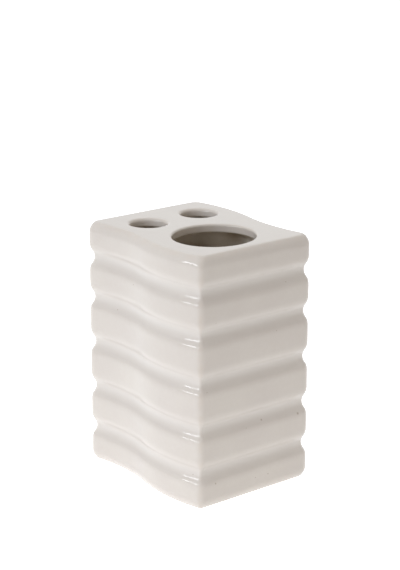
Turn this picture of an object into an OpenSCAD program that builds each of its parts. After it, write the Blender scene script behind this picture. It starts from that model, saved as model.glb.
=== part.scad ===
// Slip-cast ceramic toothbrush holder. A square block whose front and back faces wave like a flag,
// with soft ribs all round it, and a flat deck with one large and two small round holes.
// Millimetres, +Z up. The origin is the middle of the footprint, on the surface that it stands on.

/* [Body] */
// Width along the waving faces
body_w = 88; // [82:1:100]
// Depth between the chords of the two waving faces
body_d = 70; // [64:1:84]
// Height of the ceramic body, without the pads under it
body_h = 119; // [110:0.5:140]
// Thickness of the cast wall, the deck and the floor
wall_t = 4.2; // [3.4:0.1:5]
// How far a waving face swings out of its chord, and back into it
wave_rise = 2.8; // [1:0.1:4]
// Radius of the two corners where a wave ends swung outwards
blunt_corner_r = 3.5; // [3:0.1:7]
// Radius of the two corners where a wave ends swung inwards
sharp_corner_r = 6.1; // [3:0.1:8]
// Radius of the upright corners inside the cast wall
inner_corner_r = 5; // [4:0.1:8]

/* [Ribs] */
// Height of each rib from the lowest up, as shares of the body's height
rib_shares = [0.143, 0.174, 0.188, 0.187, 0.166, 0.142];
// Depth of the grooves between the ribs
groove_depth = 2.3; // [1.5:0.1:2.8]
// Radius of the bottom of a groove
groove_r = 5; // [3:0.1:6]
// Radius that rolls a rib's lower side into the groove under it
under_roll_r = 7.5; // [6:0.5:13]
// Radius that rolls a rib's upper side into the groove over it
over_roll_r = 11; // [7:0.5:13]
// Radius of the same rolls inside the cast wall
inner_roll_r = 1.5; // [1:0.1:2.5]

/* [Deck and foot] */
// Radius that leans the top rib in towards the deck
crown_r = 6.6; // [6.6:0.1:10]
// Height over which the top rib leans in
crown_h = 5.5; // [4:0.5:6.5]
// Radius of the edge between the top rib and the deck
deck_edge_r = 2; // [1:0.1:2.5]
// Radius that draws the lowest rib in towards the foot
heel_r = 6.6; // [6.6:0.1:10]
// Height over which the lowest rib draws in
heel_h = 5; // [4:0.5:6.5]
// Radius of the edge between the lowest rib and the foot
foot_edge_r = 2; // [1:0.1:2.5]
// Width of the bare foot rim that the kiln shelf carried
foot_w = 4; // [3:0.5:6]
// Depth of the glazed recess inside the foot rim
recess_h = 1; // [0.6:0.1:1.6]
// Radius where the inside of the wall meets the floor
floor_round_r = 3; // [1:0.5:5]

/* [Holes] */
// Diameter of the large hole, for a tube of paste or a cup of brushes
paste_hole_d = 40; // [34:0.5:42]
// Diameter of each of the two brush holes
brush_hole_d = 17.5; // [15:0.5:20]
// Centre of the large hole, as shares of half the width and half the depth
paste_place_shares = [0.361, -0.104];
// Centre of the left brush hole, as the same shares
left_place_shares = [-0.486, -0.357];
// Centre of the back brush hole, as the same shares
back_place_shares = [-0.483, 0.522];
// Radius of the rounded mouth of every hole
mouth_r = 0.8; // [0.6:0.1:1.6]
// Radius of the hole's edge under the deck
under_edge_r = 0.8; // [0.4:0.1:1.2]

/* [Pads] */
// Diameter of a non-slip pad
pad_d = 10; // [8:0.5:12]
// Distance that a pad stands below the foot rim
pad_stand = 1; // [0.6:0.1:1.6]
// Radius of the pad's lower edge
pad_edge_r = 0.5; // [0.2:0.1:0.8]
// Gap between a pad and the side of the recess
pad_gap = 1.5; // [0.5:0.1:3]

/* [Hidden] */

// Fineness: pieces of an arc on the outer skin, pieces of an arc inside, and facets of a drawn circle
wave_steps = 6;
corner_steps = 4;
roll_steps = 3;
inner_wave_steps = 5;
inner_corner_steps = 3;
inner_roll_steps = 1;
$fn = 96;

// How far a cut runs past the surface that it opens
overrun = 1;
// The least radius that a corner keeps where the skin draws in
least_corner_r = 0.6;

ceramic = "#e4dfdb";
rubber = "#d9d9d4";

// A waving face is two equal arcs, one swung in and one swung out, that meet on the chord's middle
span = body_w / 4;
wave_r = (span^2 + wave_rise^2) / (2 * wave_rise);
in_arc_y = -body_d / 2 + wave_r - wave_rise;
out_arc_y = -body_d / 2 - wave_r + wave_rise;
half_wave = asin(span / wave_r);

// Grooves lie where two ribs meet
function total(list, n) = n == 0 ? 0 : list[n - 1] + total(list, n - 1);
groove_zs = [for (i = [1 : len(rib_shares) - 1]) body_h * total(rib_shares, i)];

deck_z = pad_stand + body_h;
foot_z = pad_stand;
ceiling_z = deck_z - wall_t;

// Points of an arc, without its last one when the next arc starts there
function arc(centre, r, from, to, steps, last = false) =
  [for (i = [0 : steps - (last ? 0 : 1)]) let (a = from + (to - from) * i / steps)
    [centre[0] + r * cos(a), centre[1] + r * sin(a)]];

// Half of the plan, drawn in by some distance: a sharp corner, the wave and a blunt corner
function half_plan(drawn, blunt_r, sharp_r, wave_n, corner_n) =
  let (
    blunt_x = span - drawn - blunt_r,
    blunt_a = asin(blunt_x / (wave_r - drawn - blunt_r)),
    blunt_y = in_arc_y - (wave_r - drawn - blunt_r) * cos(blunt_a),
    sharp_x = span - drawn - sharp_r,
    sharp_a = asin(sharp_x / (wave_r + drawn + sharp_r)),
    sharp_y = out_arc_y + (wave_r + drawn + sharp_r) * cos(sharp_a)
  )
  concat(
    arc([-span - sharp_x, sharp_y], sharp_r, 180, 270 + sharp_a, corner_n),
    arc([-span, out_arc_y], wave_r + drawn, 90 + sharp_a, 90 - half_wave, wave_n),
    arc([span, in_arc_y], wave_r - drawn, -90 - half_wave, -90 + blunt_a, wave_n),
    arc([span + blunt_x, blunt_y], blunt_r, -90 + blunt_a, 0, corner_n, true)
  );

// The other half of the plan is the same, turned half round
function plan(drawn, blunt_r, sharp_r, wave_n, corner_n) =
  let (half = half_plan(drawn, blunt_r, sharp_r, wave_n, corner_n)) concat(half, -half);

function corner(r, drawn) = max(least_corner_r, r - drawn);
function outer_plan(drawn) =
  plan(drawn, corner(blunt_corner_r, drawn), corner(sharp_corner_r, drawn), wave_steps, corner_steps);
function inner_plan(drawn) =
  plan(drawn, inner_corner_r, inner_corner_r, inner_wave_steps, inner_corner_steps);

// Upright profiles are lists of [distance drawn in, height]. A groove is a hollow arc of radius r
// between two rolls, and reach is the height from its middle to where a roll ends.
function reach(r, roll) = sqrt(groove_depth * (2 * (r + roll) - groove_depth));
function groove(z, r, below_roll, above_roll, steps) =
  let (
    below = reach(r, below_roll),
    above = reach(r, above_roll),
    below_a = asin(below / (r + below_roll)),
    above_a = asin(above / (r + above_roll))
  )
  concat(
    [for (i = [0 : steps - 1]) let (a = below_a * i / steps)
      [below_roll * (1 - cos(a)), z - below + below_roll * sin(a)]],
    [for (i = [-steps : steps]) let (a = (i < 0 ? below_a : above_a) * i / steps)
      [groove_depth - r * (1 - cos(a)), z + r * sin(a)]],
    [for (i = [steps - 1 : -1 : 0]) let (a = above_a * i / steps)
      [above_roll * (1 - cos(a)), z + above - above_roll * sin(a)]]
  );

// A rib's end leans in along a large arc of radius r over a height, then turns over a small edge
function rib_end(r, height, edge, steps) =
  let (lean = asin((height - edge) / (r - edge)))
  concat(
    [for (i = [0 : steps]) let (a = lean * i / steps) [r * (1 - cos(a)), r * sin(a) - height]],
    [for (i = [1 : steps]) let (a = lean + (90 - lean) * i / steps)
      [r - (r - edge) * cos(lean) - edge * cos(a), edge * sin(a) - edge]]
  );

function reverse(list) = [for (i = [len(list) - 1 : -1 : 0]) list[i]];

outer_profile = concat(
  [for (p = reverse(rib_end(heel_r, heel_h, foot_edge_r, roll_steps))) [p[0], -p[1]]],
  [for (z = groove_zs) each groove(z, groove_r, over_roll_r, under_roll_r, roll_steps)],
  [for (p = rib_end(crown_r, crown_h, deck_edge_r, roll_steps)) [p[0], body_h + p[1]]]
);

// Inside, the wall follows the ribs at an even thickness, down to a rounded floor
inner_profile = concat(
  [for (i = [0 : inner_corner_steps]) let (a = 90 * i / inner_corner_steps)
    [floor_round_r * (1 - sin(a)), recess_h + wall_t + floor_round_r * (1 - cos(a))]],
  [for (z = groove_zs) each groove(z, groove_r + wall_t, inner_roll_r, inner_roll_r, inner_roll_steps)],
  [[0, body_h - wall_t]]
);

// A closed skin through rings of points, capped by fans round a middle point at each end
module skin(rings) {
  n = len(rings[0]);
  last = len(rings) - 1;
  middles = [[0, 0, rings[0][0][2]], [0, 0, rings[last][0][2]]];
  walls = [for (j = [0 : last - 1], i = [0 : n - 1])
    let (a = j * n + i, b = j * n + (i + 1) % n)
    each [[a, a + n, b], [b, a + n, b + n]]];
  caps = [for (i = [0 : n - 1])
    let (next = (i + 1) % n)
    each [[n * (last + 1), i, next], [n * (last + 1) + 1, n * last + next, n * last + i]]];
  polyhedron(concat([for (ring = rings) each ring], middles), concat(walls, caps));
}

module outer_skin() {
  skin([for (p = outer_profile) [for (q = outer_plan(p[0])) [q[0], q[1], foot_z + p[1]]]]);
}

module cavity() {
  skin([for (p = inner_profile) [for (q = inner_plan(wall_t + p[0])) [q[0], q[1], foot_z + p[1]]]]);
}

// Everything that a hole removes: its bore, its rounded mouth and its eased edge under the deck
module hole(d, place_shares) {
  r = d / 2;
  translate([place_shares[0] * body_w / 2, place_shares[1] * body_d / 2, ceiling_z])
    rotate_extrude() {
      translate([0, -overrun]) square([r, wall_t + 2 * overrun]);
      difference() {
        translate([0, wall_t - mouth_r]) square([r + mouth_r, mouth_r + overrun]);
        translate([r + mouth_r, wall_t - mouth_r]) circle(mouth_r);
      }
      difference() {
        translate([0, -overrun]) square([r + under_edge_r, under_edge_r + overrun]);
        translate([r + under_edge_r, under_edge_r]) circle(under_edge_r);
      }
    }
}

// The foot rim starts where the lowest rib's edge ends
foot_edge_in = outer_profile[0][0];
recess_in = foot_edge_in + foot_w;

module recess() {
  translate([0, 0, foot_z - overrun])
    linear_extrude(recess_h + overrun) polygon(inner_plan(recess_in));
}

module holder_body() {
  color(ceramic) difference() {
    outer_skin();
    cavity();
    hole(paste_hole_d, paste_place_shares);
    hole(brush_hole_d, left_place_shares);
    hole(brush_hole_d, back_place_shares);
    recess();
  }
}

// Pads stand near the recess's corners, clear of the waving faces. side is [-1 or 1, -1 or 1].
pad_t = recess_h + pad_stand;
pad_x = body_w / 2 - recess_in - pad_gap - pad_d / 2;
pad_y = body_d / 2 - wave_rise - recess_in - pad_gap - pad_d / 2;

module pad(side) {
  r = pad_d / 2;
  color(rubber) translate([side[0] * pad_x, side[1] * pad_y, 0]) rotate_extrude() {
    translate([0, pad_edge_r]) square([r, pad_t - pad_edge_r]);
    square([r - pad_edge_r, pad_t]);
    translate([r - pad_edge_r, pad_edge_r]) circle(pad_edge_r);
  }
}

holder_body();
pad([-1, -1]);  // pad_front_left
pad([1, -1]);  // pad_front_right
pad([-1, 1]);  // pad_back_left
pad([1, 1]);  // pad_back_right
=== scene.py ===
"""Looks of a glazed ceramic toothbrush holder: a ribbed block with waving faces and round holes.

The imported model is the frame. The cast body is worked out again from its sizes with finer steps,
so that its glaze shades smoothly. The lower walls of its grooves are squarer than the frame's, the
large hole is oval, and the mouths of the holes and the blunt corners at the deck are rounder. The
pads under it keep their solids and get their material. Sizes are in millimetres and become metres
where a mesh is made, and those of the studio are in metres.
"""

from collections import namedtuple

import bpy
import numpy as np
from mathutils import Matrix, Vector
from mathutils.geometry import delaunay_2d_cdt


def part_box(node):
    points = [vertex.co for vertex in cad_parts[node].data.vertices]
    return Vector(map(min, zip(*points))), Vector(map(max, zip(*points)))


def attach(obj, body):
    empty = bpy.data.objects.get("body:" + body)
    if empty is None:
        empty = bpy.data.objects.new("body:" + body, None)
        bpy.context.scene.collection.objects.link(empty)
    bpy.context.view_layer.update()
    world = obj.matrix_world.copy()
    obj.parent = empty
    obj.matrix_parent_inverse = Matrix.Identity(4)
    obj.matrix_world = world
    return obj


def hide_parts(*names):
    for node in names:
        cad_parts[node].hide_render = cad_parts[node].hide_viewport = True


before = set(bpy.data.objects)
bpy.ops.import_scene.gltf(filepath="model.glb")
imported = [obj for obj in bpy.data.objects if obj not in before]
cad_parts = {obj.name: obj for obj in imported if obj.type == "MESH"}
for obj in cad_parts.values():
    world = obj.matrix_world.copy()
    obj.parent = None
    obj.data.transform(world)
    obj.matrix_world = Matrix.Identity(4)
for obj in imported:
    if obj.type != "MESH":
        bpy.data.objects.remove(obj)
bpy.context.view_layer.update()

MM = 0.001
PI = np.pi
HALF_PI = PI / 2
body_low, body_high = (np.array(corner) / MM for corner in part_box("holder_body"))

# Plan of the cast body
BODY_W = body_high[0] - body_low[0]
BODY_D = 70
WALL = 4.2
WAVE_RISE = 2.8
BLUNT_R = 3.5
SHARP_R = 6.1
INNER_CORNER_R = 5
LEAST_CORNER_R = 0.6

# Upright profile of the cast body
FOOT_Z = body_low[2]
DECK_Z = body_high[2]
BODY_H = DECK_Z - FOOT_Z
RIB_SHARES = np.array([0.143, 0.174, 0.188, 0.187, 0.166, 0.142])
GROOVE_ZS = FOOT_Z + BODY_H * np.cumsum(RIB_SHARES)[:-1]
GROOVE_DEPTH = 2.3
GROOVE_R = 5
UNDER_ROLL_R = 7.5
INNER_ROLL_R = 1.5
CROWN_R = 6.6
CROWN_H = 5.5
DECK_EDGE_R = 2
HEEL_R = 6.6
HEEL_H = 5
FOOT_EDGE_R = 2

# Lower half of each groove, from the rib's face up: an easy roll, a tighter shoulder, a slope and
# the hollow. The tilts are the degrees at which the easy roll, the shoulder and the slope end
SHOULDER_R = 3.9
SLOPE_R = 30
LOW_HOLLOW_R = 6
SHOULDER_TILTS = (14, 35, 36)

# Radius that the two blunt corners reach at the deck
DECK_CORNER_R = 4.5

# Foot rim, recess and the inside's roundings
FOOT_W = 4
RECESS_H = 1
RECESS_EDGE_R = 0.4
FLOOR_ROUND_R = 3
CEILING_ROUND_R = 1.5

# Holes: centre as shares of half the width and half the depth, diameter, how far out of round, and
# the mouth's radius. They were cut and sponged by hand in the soft clay, which left the large one
# longer along one line, OVAL_TURN degrees round, and the mouths of the small ones softer
HOLES = [
    ((0.361, -0.104), 40, 0.04, 1.1),
    ((-0.486, -0.357), 17.5, 0, 1.6),
    ((-0.483, 0.522), 17.5, 0, 1.6),
]
OVAL_TURN = 120
UNDER_EDGE_R = 0.8

# Fineness of the mesh: steps of each stretch, degrees a step of a groove's arcs, longest step of a
# profile, spacing of the level nets, how far a flat runs on past a rounding, the nets' tolerance,
# and the decimals of a millimetre to which border points have to be equal
WAVE_STEPS = 26
SIDE_STEPS = 24
CORNER_STEPS = 12
HOLE_STEPS = 128
ROLL_STEPS = 7
STEP_TURN = 5.5
LONGEST_STEP = 1.6
NET_SPACING = 3
SUPPORT = 0.4
NET_TOLERANCE = 1e-5
WELD_DECIMALS = 4

# Glaze: on the edges of deck and holes it is thinnest below the deck by their radius divided by
# THINNEST_PART. POOLED_SHARE is how far the pools in the grooves whiten it, and WIPED_BLUR is half
# the width of the blurred line where it was wiped off the foot
THINNEST_PART = 3
POOLED_SHARE = 0.8
GLAZE_IOR = 1.5
BARE_ROUGHNESS = 0.85
WIPED_BLUR = 0.1

# Marks in the glaze: spacing of the iron's specks, their radius and that of their full core, how
# much they tint and how deep their pinholes are, and place and width of the larger stains
SPECK_SPACING = 11
SPECK_R = 0.35
SPECK_CORE_R = 0.2
SPECK_TINT = 0.5
PINHOLE_DEPTH = 0.02
STAIN_CORE_SHARE = 0.25
STAINS = [
    ((42.5, 2.9, 36), 1.3),
    ((43.4, 24.9, 34.1), 1.6),
    ((43.7, -26, 12.2), 1.2),
    ((-6.3, -33.4, 96.9), 0.9),
    ((-22.3, -30.7, 80.6), 0.8),
    ((43.6, 10.5, 78), 0.8),
]

# Rubber of the pads
RUBBER_IOR = 1.41

# A noise texture mostly stays between these two values
NOISE_LOW = 0.3
NOISE_HIGH = 0.7

# A Mix node's sockets by number: factor, its two numbers, its two colours, and the colour output
FACTOR, NUMBER_A, NUMBER_B, COLOUR_A, COLOUR_B, COLOUR_OUT = 0, 2, 3, 6, 7, 2

# Studio: glow of the room's sides as azimuth, elevation, half-width in degrees, radiance and colour
ROOM_COLOUR = "#6f5c3c"
ROOM_SIDES = [
    (-148, 53, 42, 0.47, "#f0ffff"),
    (0, 90, 62, 1.11, "#f1f6ff"),
]

# Lamp: azimuth, elevation, distance, width, height, radiance and colour
SOFTBOX = (-6, 20, 2.4, 2.44, 0.36, 7.65, "#f1f6fd")

# Table: its glow falls off between the two distances of GLOW_REACH from the holder's middle. Rays
# that show the background see SHOWN_GLOW and SHOWN_COLOUR instead
FLOOR_SIZE = 6
GLOW_REACH = (0.22, 0.34)
TABLE_GLOW = 0.47
FAR_GLOW = 0.06
SHOWN_GLOW = 0.88
TABLE_COLOUR = "#fffcfa"
SHOWN_COLOUR = "#f7fbff"
TABLE_BASE = "#e7e7e7"

# Camera, in degrees and millimetres: where it stands and how far, the point that it aims at, to the
# right and up, lens, sensor and roll
CAMERA_AZIMUTH = 50.026
CAMERA_ELEVATION = 16.076
CAMERA_AWAY = 832.05
AIM_RIGHT = 1.0005
AIM_H = 91.94
LENS = 111.65
SENSOR_W = 36
CAMERA_ROLL = 0.07

span = BODY_W / 4
wave_r = (span**2 + WAVE_RISE**2) / (2 * WAVE_RISE)
in_arc_y = -BODY_D / 2 + wave_r - WAVE_RISE
out_arc_y = -BODY_D / 2 - wave_r + WAVE_RISE
half_wave = np.arcsin(span / wave_r)

# A patch's lining is its share of the inside's colour: a thin wash of glaze and painted shade
Patch = namedtuple("Patch", "points faces thinness lining")


def arc(x, y, r, start, end, steps):
    """Arcs, one a row: (x, y) + r (cos a, sin a), a running evenly from start to short of end."""
    a = start + (end - start) * np.arange(steps) / steps
    return np.stack(np.broadcast_arrays(x + r * np.cos(a), y + r * np.sin(a)), -1)


def plan(drawn, blunt_r, sharp_r):
    """Rings round the body, one a row, each drawn in by its own distance.

    Half a ring is a sharp corner, an arc swung in, an arc swung out, a blunt corner and a straight
    side. All meet in tangents: a corner's centre lies wave_r plus or minus its radius from the
    arc's centre. The other half is the same, turned half round.
    """
    sizes = np.broadcast_arrays(drawn, blunt_r, sharp_r)
    drawn, blunt_r, sharp_r = (values[:, None] for values in sizes)
    out_r = wave_r + drawn + sharp_r
    in_r = wave_r - drawn - blunt_r
    sharp_x = span - drawn - sharp_r
    blunt_x = span - drawn - blunt_r
    sharp_a = np.arcsin(sharp_x / out_r)
    blunt_a = np.arcsin(blunt_x / in_r)
    sharp_y = out_arc_y + out_r * np.cos(sharp_a)
    blunt_y = in_arc_y - in_r * np.cos(blunt_a)
    side_x = (2 * span - drawn) * np.ones(SIDE_STEPS)
    side_y = blunt_y + (-sharp_y - blunt_y) * np.arange(SIDE_STEPS) / SIDE_STEPS
    from_sharp = HALF_PI + sharp_a, HALF_PI - half_wave
    to_blunt = -HALF_PI - half_wave, -HALF_PI + blunt_a
    half = np.concatenate(
        [
            arc(-span - sharp_x, sharp_y, sharp_r, PI, 1.5 * PI + sharp_a, CORNER_STEPS),
            arc(-span, out_arc_y, wave_r + drawn, *from_sharp, WAVE_STEPS),
            arc(span, in_arc_y, wave_r - drawn, *to_blunt, WAVE_STEPS),
            arc(span + blunt_x, blunt_y, blunt_r, -HALF_PI + blunt_a, 0, CORNER_STEPS),
            np.stack([side_x, side_y], -1),
        ],
        axis=1,
    )
    return np.concatenate([half, -half], axis=1)


def plan_corners():
    """How far each point of a ring is round a corner: 1 in the middle of its arc, 0 at its ends."""
    bump = np.sin(PI * np.arange(CORNER_STEPS) / CORNER_STEPS) ** 2
    half = np.concatenate([bump, np.zeros(2 * WAVE_STEPS), bump, np.zeros(SIDE_STEPS)])
    return np.tile(half, 2)


def kept_r(r, drawn):
    """Radius that a corner keeps when the skin is drawn in."""
    return np.maximum(LEAST_CORNER_R, r - drawn)


def tangent_arcs(arcs):
    """Profile from a rib's face to a groove's middle, of arcs as (radius, tilt at the far end)."""
    line = [np.zeros(2)]
    tilt = 0
    for r, end in arcs:
        steps = int(np.ceil(abs(end - tilt) / np.radians(STEP_TURN)))
        a = tilt + (end - tilt) * np.arange(1, steps + 1) / steps
        moved = np.stack([np.cos(tilt) - np.cos(a), np.sin(a) - np.sin(tilt)], -1)
        line.extend(line[-1] + r * abs(moved))
        tilt = end
    return np.array(line) - [0, line[-1][1]]


def rolled_half(r, roll):
    """Half a groove of a roll and the hollow. Radii and depth give the tilt at which they meet."""
    return tangent_arcs([(roll, np.arccos(1 - GROOVE_DEPTH / (r + roll))), (r, 0)])


def shouldered_half():
    """Half a groove with a shoulder. The easy roll's radius makes up the rest of the depth."""
    ease, slope, steep = np.radians(SHOULDER_TILTS)
    shoulder = SHOULDER_R * (np.cos(ease) - np.cos(slope))
    taken = shoulder + SLOPE_R * (np.cos(slope) - np.cos(steep))
    easy_r = (GROOVE_DEPTH - taken - LOW_HOLLOW_R * (1 - np.cos(steep))) / (1 - np.cos(ease))
    return tangent_arcs([(easy_r, ease), (SHOULDER_R, slope), (SLOPE_R, steep), (LOW_HOLLOW_R, 0)])


def groove(z, below, above):
    """A whole groove about height z. Its upper half is given as if it were the lower."""
    return np.concatenate([below, above[-2::-1] * [1, -1]]) + [0, z]


def rib_end(r, height, edge):
    """A rib's end: it leans in along an arc of radius r, then turns over a small edge to level."""
    lean = np.arcsin((height - edge) / (r - edge))
    a = lean * np.arange(ROLL_STEPS + 1) / ROLL_STEPS
    b = lean + (HALF_PI - lean) * np.arange(1, ROLL_STEPS + 1) / ROLL_STEPS
    leaning = np.stack([r * (1 - np.cos(a)), r * np.sin(a) - height], -1)
    edge_x = r - (r - edge) * np.cos(lean)
    turning = np.stack([edge_x - edge * np.cos(b), edge * np.sin(b) - edge], -1)
    return np.concatenate([leaning, turning])


def quarter(x, z, r, start, end):
    """A quarter of a circle in a profile, both ends included: (x, z) + r (cos a, sin a)."""
    a = np.linspace(start, end, ROLL_STEPS)
    return np.stack([x + r * np.cos(a), z + r * np.sin(a)], -1)


def refine(line):
    """Adds points to a profile where its steps are longer than LONGEST_STEP."""
    lengths = np.linalg.norm(np.diff(line, axis=0), axis=1)
    parts = np.ceil(lengths / LONGEST_STEP).clip(1).astype(int)
    first = np.repeat(np.arange(len(parts)), parts)
    share = np.concatenate([np.arange(n) / n for n in parts])[:, None]
    return np.vstack([line[first] * (1 - share) + line[first + 1] * share, line[-1]])


def carried(rings, heights, thinness, lining):
    """A patch of quads between rings, each at its height. Rows that climb or run in face out."""
    rows, count = rings.shape[:2]
    z = np.broadcast_to(np.asarray(heights)[:, None, None], (rows, count, 1))
    j, i = np.mgrid[0 : rows - 1, 0:count]
    along = (i + 1) % count
    low, high = j * count, (j + 1) * count
    quads = np.stack([low + i, low + along, high + along, high + i], -1)
    points = np.concatenate([rings, z], -1).reshape(-1, 3)
    spread = [np.broadcast_to(values, (rows, count)).ravel() for values in (thinness, lining)]
    return Patch(points, quads.reshape(-1, 4), *spread)


def flat_net(loop, z, holes, up, lining):
    """A level patch inside a loop and outside holes: Delaunay triangles over them and a grid."""
    rims = [loop, *[ring(*hole) for hole in holes]]
    on_rims = np.concatenate(rims)
    starts = np.cumsum([0, *[len(rim) for rim in rims]])
    edges = [
        [start + k, start + (k + 1) % len(rim)]
        for start, rim in zip(starts, rims)
        for k in range(len(rim))
    ]
    x = np.arange(loop[:, 0].min(), loop[:, 0].max(), NET_SPACING)
    y = np.arange(loop[:, 1].min(), loop[:, 1].max(), NET_SPACING)
    grid = np.stack(np.meshgrid(x, y), -1).reshape(-1, 2)
    apart = np.linalg.norm(grid[:, None] - on_rims[None], axis=-1).min(1)
    points = np.concatenate([on_rims, grid[apart > NET_SPACING / 2]])
    found = delaunay_2d_cdt(points.tolist(), edges, [], 1, NET_TOLERANCE)
    flat, triangles = np.array(found[0]), np.array(found[2])
    middle = flat[triangles].mean(1)
    outside = [beyond(middle, *hole) for hole in holes]
    triangles = triangles[np.all(outside, axis=0)] if holes else triangles
    used, numbers = np.unique(triangles, return_inverse=True)
    flat, triangles = flat[used], numbers.reshape(-1, 3)
    first, second, third = (flat[triangles[:, k]] for k in range(3))
    side, other = second - first, third - first
    turned = (side[:, 0] * other[:, 1] - side[:, 1] * other[:, 0] > 0) != up
    triangles[turned] = triangles[turned][:, ::-1]
    solid = np.column_stack([flat, np.full(len(flat), z)])
    return Patch(solid, triangles, np.zeros(len(flat)), np.full(len(flat), lining))


def oval_r(a, r, oval):
    """Radius, at an angle, of a circle that is longer by a share towards OVAL_TURN."""
    return r * (1 + oval * np.cos(2 * (a - np.radians(OVAL_TURN))))


def ring(centre, r, oval):
    """Points of such a circle."""
    a = 2 * PI * np.arange(HOLE_STEPS) / HOLE_STEPS
    out = np.stack([np.cos(a), np.sin(a)], -1)
    return np.asarray(centre) + oval_r(a, r, oval)[:, None] * out


def beyond(points, centre, r, oval):
    """Whether points lie outside such a circle."""
    x, y = (points - centre).T
    return np.hypot(x, y) > oval_r(np.arctan2(y, x), r, oval)


def turned_in(patch):
    """The same patch facing the other way."""
    return patch._replace(faces=patch.faces[:, ::-1])


def piece_from(name, patches):
    """One smooth mesh from patches, welded where border points are equal to WELD_DECIMALS.

    A level net's points come back in single precision. So the few that lie just at a step of the
    rounding aren't welded, and leave a crack without width.
    """
    points = np.concatenate([p.points for p in patches])
    starts = np.cumsum([0, *[len(p.points) for p in patches]])
    rounded = np.round(points, WELD_DECIMALS)
    _, first, welded = np.unique(rounded, axis=0, return_index=True, return_inverse=True)
    welded = welded.ravel()
    faces = [f for start, p in zip(starts, patches) for f in welded[start + p.faces].tolist()]
    mesh = bpy.data.meshes.new(name)
    mesh.from_pydata((points[first] * MM).tolist(), [], faces)
    mesh.polygons.foreach_set("use_smooth", np.ones(len(faces), bool))
    for attribute, field in (("glaze_thinness", "thinness"), ("lining", "lining")):
        values = np.concatenate([getattr(p, field) for p in patches])[first].astype(np.float32)
        mesh.attributes.new(attribute, "FLOAT", "POINT").data.foreach_set("value", values)
    mesh.validate()
    mesh.update()
    piece = bpy.data.objects.new(mesh.name, mesh)
    bpy.context.scene.collection.objects.link(piece)
    return piece


def outer_patches():
    """The skin from the recess under the foot, over the rim, up the ribs and in to the deck."""
    heel = rib_end(HEEL_R, HEEL_H, FOOT_EDGE_R)
    crown = rib_end(CROWN_R, CROWN_H, DECK_EDGE_R)
    foot_in, deck_in = heel[-1, 0], crown[-1, 0]
    recess_in = foot_in + FOOT_W
    top = FOOT_Z + RECESS_H
    edge = RECESS_EDGE_R
    under = np.concatenate(
        [
            [[recess_in + edge + SUPPORT, top]],
            quarter(recess_in + edge, top - edge, edge, HALF_PI, PI),
            quarter(recess_in - edge, FOOT_Z + edge, edge, 0, -HALF_PI),
            [[foot_in + SUPPORT, FOOT_Z]],
        ]
    )
    below, above = shouldered_half(), rolled_half(GROOVE_R, UNDER_ROLL_R)
    walls = refine(
        np.concatenate(
            [
                (heel * [1, -1])[::-1] + [0, FOOT_Z],
                *[groove(z, below, above) for z in GROOVE_ZS],
                crown + [0, DECK_Z],
                [[deck_in + SUPPORT, DECK_Z]],
            ]
        )
    )
    share = (under[:, 0] - foot_in) / FOOT_W
    blunt_under = kept_r(BLUNT_R, foot_in) * (1 - share) + INNER_CORNER_R * share
    sharp_under = kept_r(SHARP_R, foot_in) * (1 - share) + INNER_CORNER_R * share
    profile = np.concatenate([under, walls])
    up_crown = np.clip(1 - (DECK_Z - walls[:, 1]) / CROWN_H, 0, 1)
    blunt_wall = kept_r(BLUNT_R, walls[:, 0]) * (1 - up_crown) + DECK_CORNER_R * up_crown
    blunt = np.concatenate([blunt_under, blunt_wall])
    sharp = np.concatenate([sharp_under, kept_r(SHARP_R, walls[:, 0])])
    rings = plan(profile[:, 0], blunt, sharp)
    above_deck_edge = abs(profile[:, 1] - DECK_Z + DECK_EDGE_R / THINNEST_PART) / DECK_EDGE_R
    brow = np.clip(1 - above_deck_edge, 0, 1) * (profile[:, 0] < deck_in)
    from_groove = abs(profile[:, 1, None] - GROOVE_ZS).min(1)
    pooled = np.clip(1 - from_groove / GROOVE_R, 0, 1)
    thinness = np.maximum(plan_corners()[None], brow[:, None]) - pooled[:, None]
    return carried(rings, profile[:, 1], thinness, 0), rings[0], profile[0, 1], rings[-1]


def inner_patches():
    """The inside, about WALL behind the skin, rounded into the floor and the ceiling."""
    floor_z = FOOT_Z + RECESS_H + WALL
    ceiling_z = DECK_Z - WALL
    behind = rolled_half(GROOVE_R + WALL, INNER_ROLL_R)
    line = refine(
        np.concatenate(
            [
                [[FLOOR_ROUND_R + SUPPORT, floor_z]],
                quarter(FLOOR_ROUND_R, floor_z + FLOOR_ROUND_R, FLOOR_ROUND_R, -HALF_PI, -PI),
                *[groove(z, behind, behind) for z in GROOVE_ZS],
                quarter(CEILING_ROUND_R, ceiling_z - CEILING_ROUND_R, CEILING_ROUND_R, PI, HALF_PI),
                [[CEILING_ROUND_R + SUPPORT, ceiling_z]],
            ]
        )
    )
    rings = plan(WALL + line[:, 0], INNER_CORNER_R, INNER_CORNER_R)
    return turned_in(carried(rings, line[:, 1], 0, 1)), rings[0], floor_z, rings[-1], ceiling_z


def hole_patch(centre, d, oval, mouth_r):
    """A hole through the deck: its rounded mouth, its bore and its eased edge under the deck."""
    r = d / 2
    line = refine(
        np.concatenate(
            [
                [[r + mouth_r + SUPPORT, DECK_Z]],
                quarter(r + mouth_r, DECK_Z - mouth_r, mouth_r, HALF_PI, PI),
                quarter(r + UNDER_EDGE_R, DECK_Z - WALL + UNDER_EDGE_R, UNDER_EDGE_R, PI, 1.5 * PI),
                [[r + UNDER_EDGE_R + SUPPORT, DECK_Z - WALL]],
            ]
        )
    )
    rings = np.stack([ring(centre, across, oval) for across in line[:, 0]])
    from_thinnest = abs(line[:, 1] - DECK_Z + mouth_r / THINNEST_PART)
    thinness = np.clip(1 - from_thinnest / mouth_r, 0, 1) * (line[:, 0] < r + mouth_r)
    # Under the deck the bore takes the inside's colour, which is partly painted shade
    lining = np.clip(1 - (line[:, 1] - DECK_Z + WALL) / UNDER_EDGE_R, 0, 1)
    return carried(rings, line[:, 1], thinness[:, None], lining[:, None])


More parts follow.
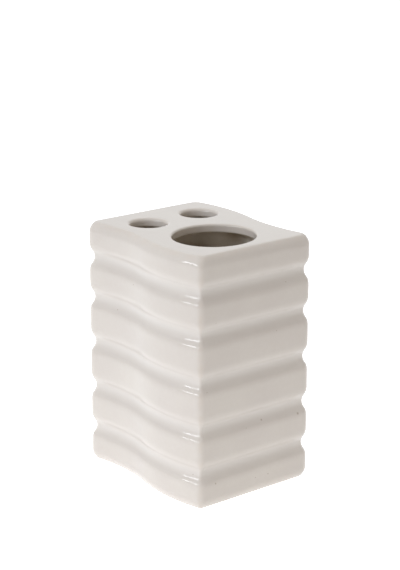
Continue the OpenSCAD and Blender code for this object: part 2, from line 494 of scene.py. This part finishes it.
def ceramic_body():
    """The whole cast body: skin, inside, holes, and the nets of deck, ceiling, floor and recess."""
    places = [(np.array(shares) * [BODY_W / 2, BODY_D / 2], *sizes) for shares, *sizes in HOLES]
    skin, recess_loop, recess_z, deck_loop = outer_patches()
    inside, floor_loop, floor_z, ceiling_loop, ceiling_z = inner_patches()
    mouths = [(centre, d / 2 + mouth_r + SUPPORT, oval) for centre, d, oval, mouth_r in places]
    unders = [(centre, d / 2 + UNDER_EDGE_R + SUPPORT, oval) for centre, d, oval, _ in places]
    return piece_from(
        "glazed_body",
        [
            skin,
            inside,
            *[hole_patch(*place) for place in places],
            flat_net(deck_loop, DECK_Z, mouths, True, 0),
            flat_net(ceiling_loop, ceiling_z, unders, False, 1),
            flat_net(floor_loop, floor_z, [], True, 1),
            flat_net(recess_loop, recess_z, [], False, 0),
        ],
    )


def linear(hex_colour):
    """An sRGB hex colour as linear RGBA."""
    srgb = np.array([int(hex_colour[k : k + 2], 16) for k in (1, 3, 5)]) / 255
    rgb = np.where(srgb <= 0.04045, srgb / 12.92, ((srgb + 0.055) / 1.055) ** 2.4)
    return (*rgb, 1.0)


def add(tree, kind, inputs=None, **settings):
    """Adds a node with its settings. An input is a value or another node's output socket."""
    made = tree.nodes.new(kind)
    for name, value in settings.items():
        setattr(made, name, value)
    for name, value in (inputs or {}).items():
        if isinstance(value, bpy.types.NodeSocket):
            tree.links.new(value, made.inputs[name])
        else:
            made.inputs[name].default_value = value
    return made


def new_material(name):
    """An empty node material and its tree."""
    material = bpy.data.materials.new(name)
    material.use_nodes = True
    material.node_tree.nodes.clear()
    return material, material.node_tree


def per_metre(size):
    """Texture scale at which one feature of a pattern is so many millimetres across."""
    return 1 / (size * MM)


def white_glaze():
    """Opaque white glaze on slip-cast cream earthenware, dipped, wiped off the foot and fired.

    The glaze is a glassy coat of about 0.2 mm. It has a soft unevenness like orange peel and lies
    over the slow waves that the sponging of the cast left. It is thin on edges, where the clay
    warms it, and pools in the grooves, where it is whitest. Iron in the clay leaves a few brown
    specks with a pinhole each. The inside has only a thin wash of glaze, and its colour, darker and
    warmer than the coat's, is partly painted shade of the hollow. The wiped foot rim shows the
    bare, chalky clay.
    """
    material, tree = new_material("white_glaze_on_earthenware")
    place = add(tree, "ShaderNodeTexCoord").outputs["Object"]
    thinness = add(tree, "ShaderNodeAttribute", attribute_name="glaze_thinness").outputs["Fac"]
    lining = add(tree, "ShaderNodeAttribute", attribute_name="lining").outputs["Fac"]

    # Uneven patterns over the surface: size in millimetres, detail, and lowest and highest value
    uneven = {}
    for name, size, detail, low, high in (
        ("clouds", 26, 3, 0, 1),
        ("mottle", 2, 2, 0, 0.12),
        ("border", 5, 2, 0.05, 0.35),
        ("rinse_and_shade", 9, 2, 0, 1),
        ("wiped_line", 8, 2, 1.05 * MM, 1.25 * MM),
        ("chalk", 0.8, 2, 0, 1),
        ("gloss", 12, 2, 0.04, 0.07),
        ("waves", 18, 0, -0.025, 0.025),
        ("peel", 5, 1, -0.003, 0.003),
        ("grain", 0.7, 2, -0.03, 0.03),
    ):
        noise = {"Vector": place, "Scale": per_metre(size), "Detail": detail}
        noise = add(tree, "ShaderNodeTexNoise", noise).outputs["Fac"]
        spread = {"From Min": NOISE_LOW, "From Max": NOISE_HIGH, "To Min": low, "To Max": high}
        uneven[name] = add(tree, "ShaderNodeMapRange", {"Value": noise, **spread}).outputs[0]

    # Iron specks, one to each cell of SPECK_SPACING that the surface cuts near its middle
    cells = {"Vector": place, "Scale": per_metre(SPECK_SPACING)}
    away = add(tree, "ShaderNodeTexVoronoi", cells).outputs["Distance"]
    speck_r, core_r = SPECK_R / SPECK_SPACING, SPECK_CORE_R / SPECK_SPACING
    edge = {"Value": away, "From Min": speck_r, "From Max": core_r}
    speck = add(tree, "ShaderNodeMapRange", edge).outputs[0]
    for centre, across in STAINS:
        ends = {0: place, 1: np.array(centre) * MM}
        away = add(tree, "ShaderNodeVectorMath", ends, operation="DISTANCE").outputs["Value"]
        stain_r = across / 2 * MM
        edge = {"Value": away, "From Min": stain_r, "From Max": stain_r * STAIN_CORE_SHARE}
        stain = add(tree, "ShaderNodeMapRange", edge).outputs[0]
        speck = add(tree, "ShaderNodeMath", {0: speck, 1: stain}, operation="MAXIMUM").outputs[0]

    # Bare clay where the foot was wiped, up to a slightly wavy line
    height = add(tree, "ShaderNodeSeparateXYZ", {0: place}).outputs["Z"]
    above = {0: height, 1: uneven["wiped_line"]}
    above = add(tree, "ShaderNodeMath", above, operation="SUBTRACT").outputs[0]
    wiped = {"Value": above, "From Min": WIPED_BLUR * MM, "From Max": -WIPED_BLUR * MM}
    bare = add(tree, "ShaderNodeMapRange", wiped).outputs[0]

    # Shares of the layers: thin on edges with a broken border, pooled in grooves, tinted by iron
    shares = []
    for one, other in (
        (thinness, uneven["border"]),
        (thinness, -POOLED_SHARE),
        (speck, SPECK_TINT),
    ):
        both = {0: one, 1: other}
        share = add(tree, "ShaderNodeMath", both, operation="MULTIPLY", use_clamp=True)
        shares.append(share.outputs[0])
    thin, pooled, tinted = shares
    mixed = []
    # Colours of the inside, darker and warmer than the coat: a thin wash of glaze and painted shade
    for share, one, other in (
        (uneven["rinse_and_shade"], "#dfd5c6", "#e6ddd0"),
        (uneven["chalk"], "#d8c7ad", "#e6d8c2"),
    ):
        both = {FACTOR: share, COLOUR_A: linear(one), COLOUR_B: linear(other)}
        mixed.append(add(tree, "ShaderNodeMix", both, data_type="RGBA").outputs[COLOUR_OUT])
    rinse_and_shade, chalky = mixed

    # Colour of the coat, layer over layer. The clouds are where the dipped coat dried unevenly
    colour = linear("#e3deda")
    for share, layer in (
        (uneven["clouds"], linear("#e8e4df")),
        (uneven["mottle"], linear("#d9d2ca")),
        (thin, linear("#e5dacd")),
        (pooled, linear("#eae7e4")),
        (tinted, linear("#8d7355")),
        # The inside's colour, partly painted shade of the hollow
        (lining, rinse_and_shade),
        (bare, chalky),
    ):
        both = {FACTOR: share, COLOUR_A: colour, COLOUR_B: layer}
        colour = add(tree, "ShaderNodeMix", both, data_type="RGBA").outputs[COLOUR_OUT]

    rough = {FACTOR: bare, NUMBER_A: uneven["gloss"], NUMBER_B: BARE_ROUGHNESS}
    rough = add(tree, "ShaderNodeMix", rough, data_type="FLOAT").outputs[0]

    # Heights in millimetres: sponged waves, orange peel, pinholes in the specks, grain of bare clay
    both = {0: uneven["waves"], 1: uneven["peel"]}
    relief = add(tree, "ShaderNodeMath", both, operation="ADD").outputs[0]
    for share, height_mm in ((speck, -PINHOLE_DEPTH), (bare, uneven["grain"])):
        both = {0: share, 1: height_mm, 2: relief}
        relief = add(tree, "ShaderNodeMath", both, operation="MULTIPLY_ADD").outputs[0]
    bump = add(tree, "ShaderNodeBump", {"Height": relief, "Distance": MM, "Strength": 1}).outputs[0]

    shader = add(
        tree,
        "ShaderNodeBsdfPrincipled",
        {"Base Color": colour, "Roughness": rough, "IOR": GLAZE_IOR, "Normal": bump},
    )
    add(tree, "ShaderNodeOutputMaterial", {"Surface": shader.outputs[0]})
    return material


def pad_rubber():
    """Silicone rubber, moulded against a finely sparked steel: matt, grey and a little milky."""
    material, tree = new_material("moulded_silicone_rubber")
    place = add(tree, "ShaderNodeTexCoord").outputs["Object"]
    # Milkiness, gloss and the sparked grain. That is 0.1 mm wide, drawn at 0.4 mm so that it shows
    uneven = []
    for size, low, high in ((3, 0, 1), (1.2, 0.5, 0.62), (0.4, -0.01, 0.01)):
        noise = {"Vector": place, "Scale": per_metre(size), "Detail": 2}
        noise = add(tree, "ShaderNodeTexNoise", noise).outputs["Fac"]
        spread = {"From Min": NOISE_LOW, "From Max": NOISE_HIGH, "To Min": low, "To Max": high}
        uneven.append(add(tree, "ShaderNodeMapRange", {"Value": noise, **spread}).outputs[0])
    milky, rough, grain = uneven
    greys = {FACTOR: milky, COLOUR_A: linear("#c9c9c3"), COLOUR_B: linear("#d3d3ce")}
    colour = add(tree, "ShaderNodeMix", greys, data_type="RGBA").outputs[COLOUR_OUT]
    bump = add(tree, "ShaderNodeBump", {"Height": grain, "Distance": MM, "Strength": 1}).outputs[0]
    shader = add(
        tree,
        "ShaderNodeBsdfPrincipled",
        {"Base Color": colour, "Roughness": rough, "IOR": RUBBER_IOR, "Normal": bump},
    )
    add(tree, "ShaderNodeOutputMaterial", {"Surface": shader.outputs[0]})
    return material


def seen_share(tree):
    """1 for rays that show the background: the camera's and those sent on by gloss or glass."""
    path = add(tree, "ShaderNodeLightPath").outputs
    shown = path["Is Camera Ray"]
    for kind in ("Is Glossy Ray", "Is Transmission Ray"):
        both = {0: shown, 1: path[kind]}
        shown = add(tree, "ShaderNodeMath", both, operation="MAXIMUM").outputs[0]
    return shown


def studio_floor():
    """A white table of opal glass, lit softly from below near the holder, that keeps its shadow."""
    bpy.ops.mesh.primitive_plane_add(size=FLOOR_SIZE)
    floor = bpy.context.object
    floor.name = "studio_floor"
    material, tree = new_material("opal_glass_table")
    place = add(tree, "ShaderNodeTexCoord").outputs["Object"]
    away = add(tree, "ShaderNodeVectorMath", {0: place}, operation="LENGTH").outputs["Value"]
    near, far = GLOW_REACH
    fall = {"From Min": near, "From Max": far, "To Min": TABLE_GLOW, "To Max": FAR_GLOW}
    fall = {"Value": away, **fall}
    glow = add(tree, "ShaderNodeMapRange", fall, interpolation_type="SMOOTHSTEP").outputs[0]
    seen = seen_share(tree)
    glows = {FACTOR: seen, NUMBER_A: glow, NUMBER_B: SHOWN_GLOW}
    strength = add(tree, "ShaderNodeMix", glows, data_type="FLOAT").outputs[0]
    tints = {FACTOR: seen, COLOUR_A: linear(TABLE_COLOUR), COLOUR_B: linear(SHOWN_COLOUR)}
    tint = add(tree, "ShaderNodeMix", tints, data_type="RGBA").outputs[COLOUR_OUT]
    shader = add(
        tree,
        "ShaderNodeBsdfPrincipled",
        {
            "Base Color": linear(TABLE_BASE),
            "Roughness": 1,
            "Specular IOR Level": 0,
            "Emission Color": tint,
            "Emission Strength": strength,
        },
    )
    add(tree, "ShaderNodeOutputMaterial", {"Surface": shader.outputs[0]})
    floor.data.materials.append(material)


def towards(azimuth, elevation):
    """Unit vector from the holder: azimuth 0 faces its waving front, 90 its right side."""
    a, e = np.radians([azimuth, elevation])
    return Vector((np.sin(a) * np.cos(e), -np.cos(a) * np.cos(e), np.sin(e)))


def studio_camera():
    """A long lens above the holder's front corner, aimed level with its upper ribs."""
    data = bpy.data.cameras.new("camera")
    camera = bpy.data.objects.new("camera", data)
    bpy.context.scene.collection.objects.link(camera)
    data.sensor_width = SENSOR_W
    data.lens = LENS
    back = towards(CAMERA_AZIMUTH, CAMERA_ELEVATION)
    right = towards(CAMERA_AZIMUTH + 90, 0)
    place = (right * AIM_RIGHT + Vector((0, 0, AIM_H)) + back * CAMERA_AWAY) * MM
    roll = Matrix.Rotation(np.radians(CAMERA_ROLL), 3, "Z")
    turn = back.to_track_quat("Z", "Y").to_matrix() @ roll
    camera.matrix_world = Matrix.Translation(place) @ turn.to_4x4()
    bpy.context.scene.camera = camera


def softbox(name, azimuth, elevation, distance, width, height, radiance, colour):
    """A flat lamp that looks at the holder's middle. Its power is pi times area times radiance."""
    data = bpy.data.lights.new(name, "AREA")
    data.shape = "RECTANGLE"
    data.size = width
    data.size_y = height
    data.energy = PI * width * height * radiance
    data.color = linear(colour)[:3]
    lamp = bpy.data.objects.new(name, data)
    bpy.context.scene.collection.objects.link(lamp)
    lamp.visible_camera = False
    back = towards(azimuth, elevation)
    lamp.location = back * distance + Vector((0, 0, BODY_H * MM / 2))
    lamp.rotation_euler = back.to_track_quat("Z", "Y").to_euler()


def studio_room():
    """A dim room, brighter on some sides. Each side glows by a smooth step of its angle away."""
    world = bpy.data.worlds.new("studio")
    bpy.context.scene.world = world
    world.use_nodes = True
    tree = world.node_tree
    tree.nodes.clear()
    direction = add(tree, "ShaderNodeTexCoord").outputs["Generated"]
    glow = add(tree, "ShaderNodeRGB").outputs[0]
    glow.default_value = linear(ROOM_COLOUR)
    for azimuth, elevation, spread, radiance, colour in ROOM_SIDES:
        both = {0: direction, 1: towards(azimuth, elevation)}
        facing = add(tree, "ShaderNodeVectorMath", both, operation="DOT_PRODUCT").outputs["Value"]
        step = {"Value": facing, "From Min": np.cos(np.radians(spread)), "From Max": 1}
        step = add(tree, "ShaderNodeMapRange", step, interpolation_type="SMOOTHSTEP").outputs[0]
        more = {0: step, 1: np.array(linear(colour)[:3]) * radiance, 2: glow}
        glow = add(tree, "ShaderNodeVectorMath", more, operation="MULTIPLY_ADD").outputs[0]
    room = add(tree, "ShaderNodeBackground", {"Color": glow, "Strength": 1})
    white = add(tree, "ShaderNodeBackground", {"Color": (1, 1, 1, 1), "Strength": 1})
    shown = {0: seen_share(tree), 1: room.outputs[0], 2: white.outputs[0]}
    surface = add(tree, "ShaderNodeMixShader", shown).outputs[0]
    add(tree, "ShaderNodeOutputWorld", {"Surface": surface})


body = ceramic_body()
body.data.materials.append(white_glaze())
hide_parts("holder_body")
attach(body, "root")

rubber = pad_rubber()
for name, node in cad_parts.items():
    if name.startswith("pad"):
        node.data.materials.clear()
        node.data.materials.append(rubber)

studio_floor()
studio_room()
softbox("front_softbox", *SOFTBOX)
studio_camera()
bpy.context.scene.view_settings.view_transform = "Standard"
